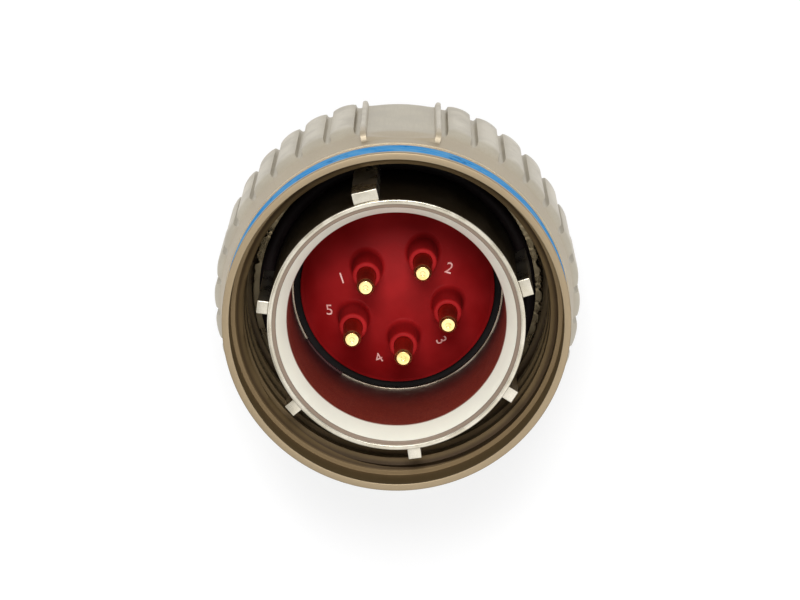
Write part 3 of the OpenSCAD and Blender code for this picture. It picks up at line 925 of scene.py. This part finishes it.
@dataclass
class CouplingNut:
    """The turning nut: grip lobes, marking flat, cone, nose and the thread inside."""

    low: float = 11.6
    high: float = 30.65
    bore_r: float = 11.96
    grip_r: float = 15.8
    shoulder_r: float = 15.15
    nose_r: float = 14.62
    grip_top: float = 23.05
    mouth_r: float = 14.02
    thread_top: float = 28.1
    thread_low: float = 19.6
    root_r: float = 13.62
    cavity_r: float = 13.75
    web_top: float = 16.1
    band_low: float = 27.0
    band_high: float = 30.3
    band_depth: float = 0.12
    lobe_r: float = 2.35
    groove_r: float = 0.32
    groove_depth: float = 0.68
    groove_count: int = 34
    first_groove: float = 13.8
    flat_h: float = 14.9
    flat_top: float = 26.0
    rib_a: float = 11.9
    rib_w: float = 0.5
    softness: float = 0.035
    chamfer: float = 0.7
    ledge: float = 0.15
    lobe_gap: float = 0.4
    rib_round: float = 0.25
    fade_h: float = 0.45
    lobe_end: tuple[Pair, ...] = ((0.04, -0.9), (0.2, -0.4), (0.5, 0.1), (0.8, 0.6))
    rib_end: tuple[Pair, ...] = ((24.2, 0.0), (25.2, 0.15), (26.0, 0.45))
    rear_rows: tuple[float, ...] = (0, 0.05, 0.35, 0.65, 0.75, 1.2, 4, 8)
    lobe_rows: Triple = (21.7, 25.4, 0.14)
    front_rows: tuple[float, ...] = (
        25.5, 25.62, 25.74, 25.86, 25.95, 25.99, 26.01, 26.08, 26.3, 26.6, 26.83, 26.85)

    @property
    def groove_step(self) -> float:
        """Angle from one groove to the next, in degrees."""
        return (360 - 2 * self.first_groove) / (self.groove_count - 1)

    def angles(self) -> np.ndarray:
        """Column angles, closer at the grooves' and the ribs' edges.

        Returns:
            Angles rising through one turn, in radians.
        """
        step = np.array([-5, -4, -3, -2.2, -1.6, -1.32, -1.2, -1.08, -0.85, -0.45,
                         0, 0.45, 0.85, 1.08, 1.2, 1.32, 1.6, 2.2, 3, 4])
        grooves = self.first_groove + self.groove_step * np.arange(self.groove_count)
        turned = (grooves[:, None] + step).ravel()
        turned = turned[(turned > 12.95) & (turned < 347.05)]
        rib = np.array([8.5, 10.0, 10.6, 10.9, 11.0, 11.15, 11.5, 11.9, 12.3, 12.65, 12.8,
                        12.9])
        flat = np.concatenate([-rib[::-1], np.linspace(-7.5, 7.5, 11), rib])
        return np.radians(np.sort(np.concatenate([turned, flat % 360])) + 90)

    def section(self, angle: np.ndarray) -> tuple[np.ndarray, np.ndarray]:
        """Radius of the grip and of the flat with its ribs, by angle.

        A lobe and a groove are circles met by a ray from the axis, the flat is a straight line,
        and a rib is a bar along a radius.

        Args:
            angle: angles, in radians.

        Returns:
            Grip radius and flat radius; the latter is nought away from the flat.
        """
        off = (np.degrees(angle) - 90 + 180) % 360 - 180
        step = self.groove_step
        past = np.degrees(angle - np.pi / 2) % 360 - self.first_groove
        from_groove = np.radians((past + step / 2) % step - step / 2)
        from_lobe = np.radians(past % step - step / 2)
        centre = self.grip_r - self.lobe_r
        lobe = centre * np.cos(from_lobe) + np.sqrt(
            self.lobe_r ** 2 - (centre * np.sin(from_lobe)) ** 2)
        groove_at = self.grip_r - self.groove_depth + self.groove_r
        inside = self.groove_r ** 2 - (groove_at * np.sin(from_groove)) ** 2
        groove = np.where(inside > 0, groove_at * np.cos(from_groove)
                          - np.sqrt(np.maximum(inside, 0)), self.grip_r)
        grip = np.where(np.abs(off) > self.first_groove - self.lobe_gap, lobe,
                        self.grip_r - self.groove_depth)
        grip = np.minimum(grip, groove)
        flat = np.where(np.abs(off) < self.rib_a, self.flat_h / np.cos(np.radians(off)), 0)
        rib_off = self.grip_r * np.sin(np.radians(np.abs(off) - self.rib_a))
        rib = np.where(np.abs(rib_off) <= self.rib_w / 2 + 1e-6,
                       self.grip_r - self.rib_round * (2 * rib_off / self.rib_w) ** 4, 0)
        return grip, np.maximum(flat, rib)

    def outer(self) -> np.ndarray:
        """Radius and height of the turned outside, from the rear edge to the front rim."""
        fall = self.grip_r - self.shoulder_r
        corners = np.array([
            (self.grip_r - self.chamfer, self.low), (self.grip_r, self.low + self.chamfer),
            (self.grip_r, self.grip_top - 1.3),
            *((self.grip_r - part * fall, self.grip_top + rise) for part, rise in self.lobe_end),
            (self.shoulder_r - 0.05, self.grip_top + 1.1),
            (self.shoulder_r - 0.14, self.grip_top + 1.8),
            (self.nose_r + 0.1, self.band_low - self.ledge)])
        z = np.concatenate([self.low + np.array(self.rear_rows), np.arange(*self.lobe_rows),
                            self.front_rows])
        return np.stack([np.interp(z, corners[:, 1], corners[:, 0]), z], -1)

    def build(self) -> None:
        """Makes the outside by the softened least of section and turned form, then the inside."""
        angles = self.angles()
        grip, flat = self.section(angles)
        turned = self.outer()
        k, z = self.softness, turned[:, 1]
        body = -k * np.logaddexp(-grip[:, None] / k, -turned[None, :, 0] / k)
        pad_r = np.interp(z, [self.low, self.low + self.chamfer, *(at for at, _ in self.rib_end)],
                          [self.grip_r - self.chamfer, self.grip_r,
                           *(self.grip_r - fall for _, fall in self.rib_end)])
        pad = np.maximum(np.minimum(flat[:, None], pad_r), body)
        fade = np.clip((self.flat_top - z) / self.fade_h, 0, 1)
        pad = body + (pad - body) * fade * fade * (3 - 2 * fade)
        radius = np.minimum(np.maximum(body, pad), self.grip_r)
        outside = np.stack([radius, np.broadcast_to(z, radius.shape)], -1)
        ledge, fine = self.band_low - self.ledge, 0.03
        floor = self.nose_r - self.band_depth
        nose = fillet_outline([
            (self.nose_r + 0.1, ledge, 0), (self.nose_r, ledge, fine),
            (self.nose_r, self.band_low, fine), (floor, self.band_low, 0.02),
            (floor, self.band_high, 0.02), (self.nose_r, self.band_high, fine),
            (self.nose_r, self.high, 0.09), (self.mouth_r, self.high, 0.06),
            (self.mouth_r, self.thread_top, 0.04), (self.root_r, self.thread_top, 0.05),
            (self.root_r, self.thread_low, 0)])[4:-4]
        back = fillet_outline([
            (self.root_r, self.thread_low, 0), (self.cavity_r, self.thread_low, 0.02),
            (self.cavity_r, self.web_top, 0.3), (self.bore_r, self.web_top, 0.05),
            (self.bore_r, self.low, 0.1), (self.grip_r - self.chamfer, self.low, 0)])[:-4]
        thread = Helix(low=self.thread_low, high=self.thread_top - 0.06, root_r=self.root_r,
                       height=0.6, pitch=2.54, crest_w=0.84, flank=0.36,
                       start=math.radians(53), inward=True, fade=0.5, rows_per_ridge=11)
        order = np.argsort((angles - thread.start) % TAU)
        angles = thread.start + ((angles - thread.start) % TAU)[order]
        ahead = np.concatenate(
            [outside[order], np.broadcast_to(nose, (len(angles),) + nose.shape)], 1)
        by_column, over = with_helix(ahead, thread, back, angles)
        nut = Piece("nut_body", Body.NUT, "nut_nickel")
        nut.add(revolve(by_column, angles), over=over)
        nut.make(NUT_NICKEL, "coupling_nut")

    def band(self) -> None:
        """The paint in its groove: a thin turned ring with rounded edges."""
        low, high = self.band_low + 0.035, self.band_high - 0.035
        inner, outer = self.nose_r - self.band_depth + 0.006, self.nose_r - 0.012
        ring = fillet_outline([(inner, low, 0.02), (outer, low, 0.04), (outer, high, 0.04),
                               (inner, high, 0.02)], 4)
        piece = Piece("band_coat", Body.NUT, "band_paint")
        piece.add(revolve(ring, ring_angles(512))).make(BAND_PAINT, "colour_band")


@dataclass(frozen=True)
class SplitRing:
    """A spring ring of rounded strip with a gap."""

    name: str
    inner: float
    outer: float
    low: float
    high: float
    gap_at: float
    gap: float
    rounding: float = 0.06

    def build(self, finish: Finish, slot: str, node: str) -> None:
        """Sweeps the strip's outline from one side of the gap to the other.

        Args:
            finish: the ring's finish.
            slot: its material slot.
            node: the CAD node it stands for.
        """
        strip = fillet_outline([(r, z, self.rounding) for r, z in (
            (self.inner, self.low), (self.outer, self.low),
            (self.outer, self.high), (self.inner, self.high))])
        angles = np.radians(np.linspace(self.gap_at + self.gap / 2,
                                        self.gap_at + 360 - self.gap / 2, 300))
        piece = Piece(self.name, Body.SHELL, slot)
        piece.add(capped(revolve(strip, angles)), closed=False).make(finish, node)


@dataclass
class Insert:
    """The crowned face seal with its bosses, and the pins that stand in them."""

    seal_r: float = 8.5
    edge_z: float = 18.3
    crown: float = 2.7
    bottom: float = 17.75
    boss_r: float = 1.22
    boss_top: float = 24.25
    boss_edge: float = 0.25
    foot: float = 0.34
    foot_h: float = 0.7
    pin_r: float = 0.785
    tip_z: float = 28.3
    tip_chamfer: Pair = (0.24, 0.42)
    stem_r: float = 0.985
    stem_top: float = 23.95
    shoulder_r: float = 1.3
    shoulder_low: float = 9.9
    shoulder_high: float = 11.1
    crimp_r: float = 1.15
    crimp_bore_r: float = 0.85
    crimp_low: float = 3.13
    crimp_depth: float = 4.0
    places: tuple[Pair, ...] = (
        (3.65, 137.0), (4.36, 61.0), (4.4, -8.0), (3.66, -80.0), (4.27, 209.0))
    marks: tuple[Triple, ...] = (
        (-4.85, 1.2, 20.0), (4.43, 2.32, -20.0), (3.9, -4.24, -60.0), (-1.49, -6.04, 30.0),
        (-5.9, -1.79, 8.0))
    mark_h: float = 1.35
    mark_t: float = 0.012
    lip: float = 0.12
    pin_gap: float = 0.03

    def crown_z(self, x: np.ndarray, y: np.ndarray) -> np.ndarray:
        """Height of the crowned face: a sphere through the edge and the crown.

        Args:
            x: places across.
            y: places across.

        Returns:
            Heights.
        """
        sphere = (self.seal_r ** 2 + self.crown ** 2) / (2 * self.crown)
        return self.edge_z + self.crown - sphere + np.sqrt(sphere ** 2 - x ** 2 - y ** 2)

    def centre(self, number: int) -> Pair:
        """Place of a contact, counted from nought."""
        r, a = self.places[number]
        return r * math.cos(math.radians(a)), r * math.sin(math.radians(a))

    def seal(self) -> None:
        """The face: a turned disc under a sphere, and a boss with a flared foot at each pin."""
        across = np.concatenate([[0.0], np.linspace(0.4, self.seal_r - self.lip, 36)])
        top = np.stack([across, self.crown_z(across, 0 * across)], -1)
        edge = np.radians(np.linspace(0, 90, 5))
        lip = np.stack([self.seal_r - self.lip + self.lip * np.sin(edge),
                        top[-1, 1] - self.lip * (1 - np.cos(edge))], -1)
        side = np.array([(self.seal_r, self.bottom), (0.0, self.bottom)])
        piece = Piece("seal_face", Body.SHELL, "seal_red")
        piece.add(revolve(np.concatenate([top, lip, side]), ring_angles(256)))
        for number in range(len(self.places)):
            piece.add(self.boss(number))
        piece.make(SEAL_RED, "face_seal", sharp=40.0)

    def boss(self, number: int) -> np.ndarray:
        """One boss: upright side, rounded top, and a foot that runs out into the crowned face.

        A row's height is a blend of a level and of the crowned face, and its weight goes from
        the level at the top to the face at the foot.

        Args:
            number: the contact's number, counted from nought.

        Returns:
            The boss's grid.
        """
        turn = np.radians(np.linspace(0, 90, 6))
        hole = self.pin_r + self.pin_gap
        top_r = self.boss_r - self.boss_edge * (1 - np.sin(turn))
        top_d = self.boss_edge * (1 - np.cos(turn))
        flare = np.radians(np.linspace(0, 90, 10))
        foot_r = self.boss_r + 0.06 + self.foot * (1 - np.cos(flare))
        foot_h = self.foot_h * (1 - np.sin(flare))
        r = np.concatenate([[hole, hole + 0.05], top_r, foot_r, [foot_r[-1] + 0.25, hole]])
        level = np.concatenate([[0.06, 0.0], top_d, np.zeros(len(foot_r) + 2)])
        lift = np.concatenate([np.zeros(2 + len(top_r)), foot_h, [-0.12, -1.2]])
        weight = np.concatenate([np.zeros(2 + len(top_r)), np.ones(len(foot_r) + 2)])
        x0, y0 = self.centre(number)
        angles = ring_angles(72)
        grid = revolve(np.stack([r, level], -1), angles, (x0, y0))
        face = self.crown_z(grid[..., 0], grid[..., 1]) + lift
        grid[..., 2] = (1 - weight) * (self.boss_top - level) + weight * face
        return grid

    def contact(self, number: int) -> None:
        """One turned contact: pin, stem, shoulder and the crimp barrel's bore.

        Args:
            number: the contact's number, counted from nought.
        """
        fine = 0.04
        corners = [
            (0.0, self.crimp_low + self.crimp_depth + 0.5, 0.0),
            (self.crimp_bore_r, self.crimp_low + self.crimp_depth, fine),
            (self.crimp_bore_r, self.crimp_low, fine), (self.crimp_r, self.crimp_low, fine),
            (self.crimp_r, self.shoulder_low, fine), (self.shoulder_r, self.shoulder_low, fine),
            (self.shoulder_r, self.shoulder_high, fine), (self.stem_r, self.shoulder_high, fine),
            (self.stem_r, self.stem_top, 0.03), (self.pin_r, self.stem_top, 0.03),
            (self.pin_r, self.tip_z - self.tip_chamfer[1], 0.08),
            (self.pin_r - self.tip_chamfer[0], self.tip_z, 0.05), (0.24, self.tip_z, 0.02),
            (0.16, self.tip_z - 0.05, 0.02), (0.0, self.tip_z - 0.05, 0.0)]
        piece = Piece(f"contact_pin_{number + 1}", Body.SHELL, "contact_gold")
        piece.add(revolve(fillet_outline(corners, 4), ring_angles(48), self.centre(number)))
        piece.make(CONTACT_GOLD, f"contact_{number + 1}")

    def mark(self, number: int) -> None:
        """The plain number printed beside a contact, laid on the crowned face.

        Args:
            number: the contact's number, counted from nought.
        """
        x0, y0, turn = self.marks[number]
        curve = bpy.data.curves.new(f"mark_{number + 1}", "FONT")
        curve.body = str(number + 1)
        curve.size, curve.extrude = self.mark_h * MM, self.mark_t * MM
        curve.align_x, curve.align_y = "CENTER", "CENTER"
        curve.resolution_u = 4
        made = link(curve.name, curve)
        shape = made.evaluated_get(bpy.context.evaluated_depsgraph_get())
        mesh = bpy.data.meshes.new_from_object(shape)
        bpy.data.objects.remove(made)
        mesh.transform(Matrix.Translation((x0 * MM, y0 * MM, 0))
                       @ Matrix.Rotation(math.radians(turn), 4, "Z"))
        at = np.empty(len(mesh.vertices) * 3)
        mesh.vertices.foreach_get("co", at)
        at = at.reshape(-1, 3)
        at[:, 2] += self.crown_z(at[:, 0] / MM, at[:, 1] / MM) * MM
        mesh.vertices.foreach_set("co", at.ravel())
        mesh.materials.clear()
        mesh.materials.append(MARK_INK.material())
        piece = link(f"contact_mark_{number + 1}", mesh)
        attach(piece, Body.SHELL.value)
        log.info("%s: %d points", piece.name, len(mesh.vertices))

    def build(self) -> None:
        """Builds the seal, the contacts and the numbers."""
        self.seal()
        for number in range(len(self.places)):
            self.contact(number)
            self.mark(number)


@dataclass
class Fittings:
    """The seals and rings on the shell, and the finishes of the inner CAD nodes."""

    oring_r: float = 0.6
    oring_at: Pair = (11.43, 19.43)

    def build(self) -> None:
        """Builds the rings and dresses the nodes that keep their CAD shape."""
        turn = ring_angles(20)
        section = np.stack([self.oring_at[0] + self.oring_r * np.cos(turn),
                            self.oring_at[1] + self.oring_r * np.sin(turn)], -1)
        seal = Piece("barrel_seal", Body.SHELL, "seal_black")
        seal.add(revolve(section, ring_angles(256))).make(SEAL_BLACK, "barrel_o_ring")
        SplitRing("bore_ring", 9.06, 9.51, 17.78, 18.48, 225, 28).build(
            RING_NICKEL, "ring_nickel", "insert_retaining_ring")
        SplitRing("rear_ring", 11.23, 12.8, 10.84, 11.54, 270, 11).build(
            SPRING_STEEL, "spring_steel", "snap_ring")
        kept = {"thrust_washer": SPRING_STEEL, "wave_spring": SPRING_STEEL,
                "insert_body": INSERT_BLACK, "clip_disc": INSERT_BLACK,
                "rear_grommet": GROMMET_RED}
        kept.update({f"retention_clip_{i}": CLIP_BRONZE for i in range(1, 6)})
        for name, finish in kept.items():
            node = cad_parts[name]
            node.data.materials.clear()
            node.data.materials.append(finish.material())
            log.info("%s dressed", name)


@dataclass
class Studio:
    """Camera, lamps, floor and the pale surroundings."""

    focus: Triple = (0.0, 0.0, 31.3)
    tilt: float = 14.4
    roll: float = 1.3
    swing: float = -0.08
    distance: float = 250.0
    shift: Pair = (-0.304, -2.19)
    lens: float = 135.0
    ambient: float = 0.62
    floor_half: float = 1.5
    floor_glow: float = 0.5
    middle: float = 16.0
    lamps: tuple[tuple[str, Triple, float, float], ...] = (
        ("key_lamp", (-10, 170, 330), 110, 0.9), ("fill_lamp", (60, -140, 300), 200, 0.14),
        ("left_lamp", (-190, -20, 220), 120, 0.1), ("right_lamp", (190, -20, 220), 120, 0.1))

    def camera(self) -> None:
        """Sets the camera above the mating face, tilted towards the marking flat."""
        tilt, swing, roll = (math.radians(v) for v in (self.tilt, self.swing, self.roll))
        turn = (Matrix.Rotation(-tilt, 4, "X") @ Matrix.Rotation(-swing, 4, "Y")
                @ Matrix.Rotation(roll, 4, "Z"))
        away = turn @ Vector((-self.shift[0], -self.shift[1], self.distance))
        data = bpy.data.cameras.new("studio_camera")
        data.lens, data.sensor_width, data.sensor_fit = self.lens, 36.0, "HORIZONTAL"
        data.clip_start, data.clip_end = 0.01, 10.0
        made = link("studio_camera", data)
        made.matrix_world = Matrix.Translation((Vector(self.focus) + away) * MM) @ turn
        bpy.context.scene.camera = made

    def lamp(self, name: str, at: Triple, size: float, power: float) -> None:
        """A square soft lamp that looks at the middle of the part.

        Args:
            name: the lamp's name.
            at: its place, in millimetres.
            size: its side, in millimetres.
            power: its power, in watts.
        """
        data = bpy.data.lights.new(name, "AREA")
        data.shape, data.size = "SQUARE", size * MM
        data.energy = power
        place = np.array(at) * MM
        back = place - np.array([0, 0, self.middle * MM])
        back /= np.linalg.norm(back)
        side = np.cross([0.0, 1.0, 0.01], back)
        side /= np.linalg.norm(side)
        axes = np.column_stack([side, np.cross(back, side), back, place])
        link(name, data).matrix_world = Matrix([*axes.tolist(), [0, 0, 0, 1]])

    def floor(self) -> None:
        """A pale floor under the rear end: it takes shadows, and shows near white."""
        half = self.floor_half
        mesh = bpy.data.meshes.new("studio_floor")
        mesh.from_pydata([(-half, -half, 0), (half, -half, 0), (half, half, 0), (-half, half, 0)],
                         [], [(0, 1, 2, 3)])
        paint = bpy.data.materials.new("studio_floor")
        net = Net(paint)
        at = net.at()
        cloud = net.noise(at, 60.0, 2.0, 0.5)
        base = net.mix(cloud.ramp(0.3, 0.7), tone(241, 242, 243), tone(246, 246, 246))
        matt = net.node("ShaderNodeBsdfDiffuse", {}, {"Color": base})
        glow = net.node("ShaderNodeEmission", {}, {"Color": (1.0, 1.0, 1.0), "Strength": 1.0})
        path = net.node("ShaderNodeLightPath")
        seen = path.out("Is Camera Ray") + path.out("Is Glossy Ray")
        blend = net.node("ShaderNodeMixShader", {}, {0: seen * self.floor_glow, 1: matt, 2: glow})
        net.node("ShaderNodeOutputMaterial", {}, {"Surface": blend})
        mesh.materials.append(paint)
        link("studio_floor", mesh)

    def surroundings(self) -> None:
        """A world that shows white and lights the part more gently."""
        world = bpy.data.worlds.new("studio_world")
        bpy.context.scene.world = world
        net = Net(world)
        path = net.node("ShaderNodeLightPath")
        seen = path.out("Is Camera Ray") + path.out("Is Glossy Ray") + path.out(
            "Is Transmission Ray")
        strength = (seen > 0.5) * (1 - self.ambient) + self.ambient
        glow = net.node("ShaderNodeBackground", {}, {"Color": (1.0, 1.0, 1.0),
                                                     "Strength": strength})
        net.node("ShaderNodeOutputWorld", {}, {"Surface": glow})

    def build(self) -> None:
        """Sets up the whole studio."""
        bpy.context.scene.view_settings.view_transform = "Standard"
        self.camera()
        self.floor()
        self.surroundings()
        for name, at, size, power in self.lamps:
            self.lamp(name, at, size, power)
        log.info("studio ready")


def main() -> None:
    """Builds the studio and every piece, in order."""
    logging.basicConfig(level=logging.INFO, format="%(name)s: %(message)s")
    Studio().build()
    PlugShell().build()
    nut = CouplingNut()
    nut.build()
    nut.band()
    Insert().build()
    Fittings().build()


if __name__ == "__main__":
    main()
